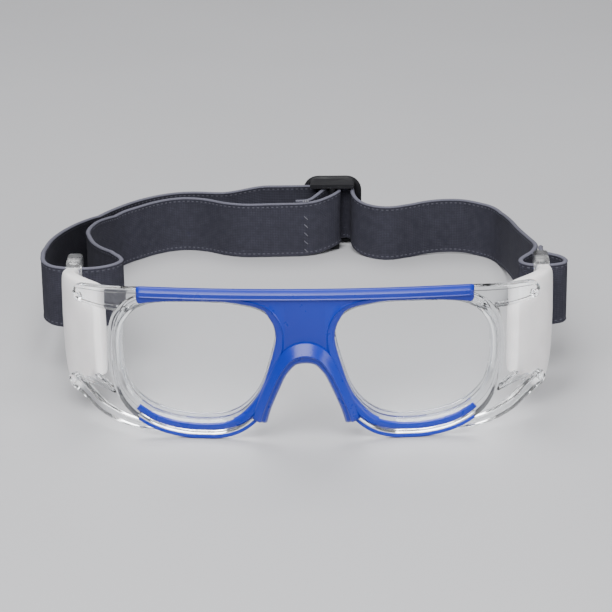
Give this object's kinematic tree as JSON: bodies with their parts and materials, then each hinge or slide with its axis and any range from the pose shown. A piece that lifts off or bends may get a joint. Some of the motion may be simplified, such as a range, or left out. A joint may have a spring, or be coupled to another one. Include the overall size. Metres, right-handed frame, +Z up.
{
  "type": "sports protective goggles",
  "caption": "Clear wrap-around sports goggles with a coloured brow and nose pad, soft temple pads and an adjustable elastic head strap.",
  "frame": {"origin": "on the floor under the centre of the goggles' bounding box, between the front and the strap's buckle", "axes": "+Z up, the wearer looks along -Y, +X towards the wearer's left"},
  "size_m": [0.1658, 0.1829, 0.047],
  "materials": {
    "clear_plastic": "clear moulded polycarbonate, polished",
    "lens": "clear polycarbonate, optically polished",
    "blue_plastic": "smooth royal blue, semi-gloss",
    "silicone": "frosted translucent white silicone",
    "elastic": "woven charcoal elastic webbing with lighter edges",
    "black_plastic": "black moulded acetal, fine satin"
  },
  "bodies": {
    "frame": {"front_frame": "clear_plastic", "brow_cover": "blue_plastic", "nose_pad": "blue_plastic", "lens_left": "lens", "lens_right": "lens", "lower_trim_left": "blue_plastic", "lower_trim_right": "blue_plastic", "temple_blade_left": "clear_plastic", "temple_blade_right": "clear_plastic", "temple_pad_left": "silicone", "temple_pad_right": "silicone", "upper_pin_left": "clear_plastic", "upper_pin_right": "clear_plastic", "lower_pin_left": "clear_plastic", "lower_pin_right": "clear_plastic", "strap_anchor_left": "elastic", "strap_anchor_right": "elastic"},
    "strap": {"strap_outer_run": "elastic", "strap_inner_run": "elastic", "strap_single_run": "elastic"},
    "buckle": {"tri_glide_buckle": "black_plastic", "strap_sewn_end": "elastic"}
  },
  "joints": [
    {"name": "strap_swing", "type": "hinge", "parent": "frame", "child": "strap", "pos_m": [0.0025, -0.0257, 0.027], "axis": [1, 0, 0], "range_deg": [-8, 30]},
    {"name": "buckle_slide", "type": "slide", "parent": "strap", "child": "buckle", "axis": [-1, 0, 0], "range_m": [0, 0.02], "deforming": ["strap_inner_run"]}
  ]
}
